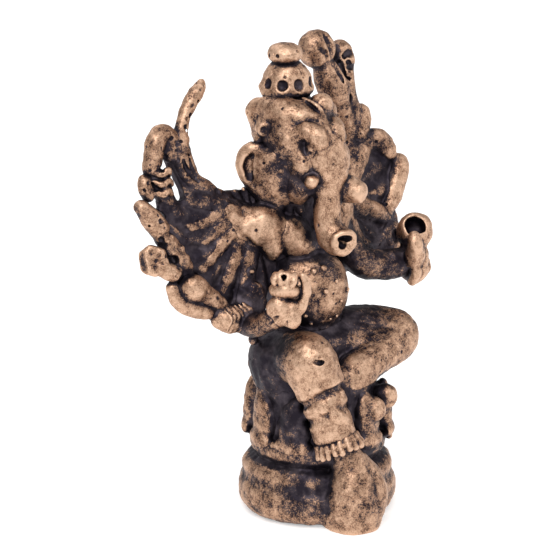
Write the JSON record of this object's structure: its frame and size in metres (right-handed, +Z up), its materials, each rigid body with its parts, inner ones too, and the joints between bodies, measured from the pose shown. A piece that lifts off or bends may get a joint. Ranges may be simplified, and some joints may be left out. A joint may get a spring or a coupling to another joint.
{
  "type": "seated elephant-headed deity figurine",
  "caption": "Small cast metal figurine of a many-armed, elephant-headed deity seated on a round lotus pedestal with one leg hanging down.",
  "frame": {"origin": "centre of the round pedestal's flat underside, where the figurine stands", "axes": "+Z up through the crown, -Y the way the figure faces, -X the figure's right, the side of the hanging leg"},
  "size_m": [0.037, 0.0219, 0.0483],
  "materials": {
    "bronze": "dry-brushed antique bronze over dark patina",
    "patina": "dark antique patina with bronze showing at the edges"
  },
  "bodies": {
    "root": {"pedestal_drum": "bronze", "pedestal_collar": "bronze", "lotus_seat": "patina", "lotus_petals": "bronze", "foot_lotus": "bronze", "hips": "patina", "belly": "bronze", "chest": "patina", "neck": "patina", "right_shoulder": "bronze", "left_shoulder": "bronze", "head": "bronze", "trunk": "bronze", "broken_right_tusk": "bronze", "left_tusk": "bronze", "right_ear": "bronze", "left_ear": "bronze", "right_ear_flower": "bronze", "left_ear_flower": "bronze", "crown": "bronze", "crown_finial": "bronze", "right_thigh": "bronze", "right_shin": "bronze", "right_anklet": "bronze", "right_foot": "bronze", "left_thigh": "bronze", "left_shin": "bronze", "left_foot": "bronze", "right_web": "patina", "left_web": "patina", "sprig_arm": "bronze", "club_arm": "bronze", "bud_arm": "bronze", "discus_arm": "bronze", "noose_arm": "bronze", "conch_arm": "bronze", "mace_arm": "bronze", "axe_arm": "bronze", "goad_arm": "bronze", "lotus_arm": "bronze", "rosary_arm": "bronze", "fruit_arm": "bronze", "sprig": "bronze", "club": "bronze", "bud": "bronze", "discus": "bronze", "noose": "bronze", "conch": "bronze", "mace": "bronze", "axe": "bronze", "goad": "bronze", "lotus": "bronze", "rosary": "bronze", "fruit": "bronze", "blessing_arm": "bronze", "blessing_hand": "bronze", "offering_arm": "patina", "offering_hand": "bronze"}
  },
  "joints": []
}
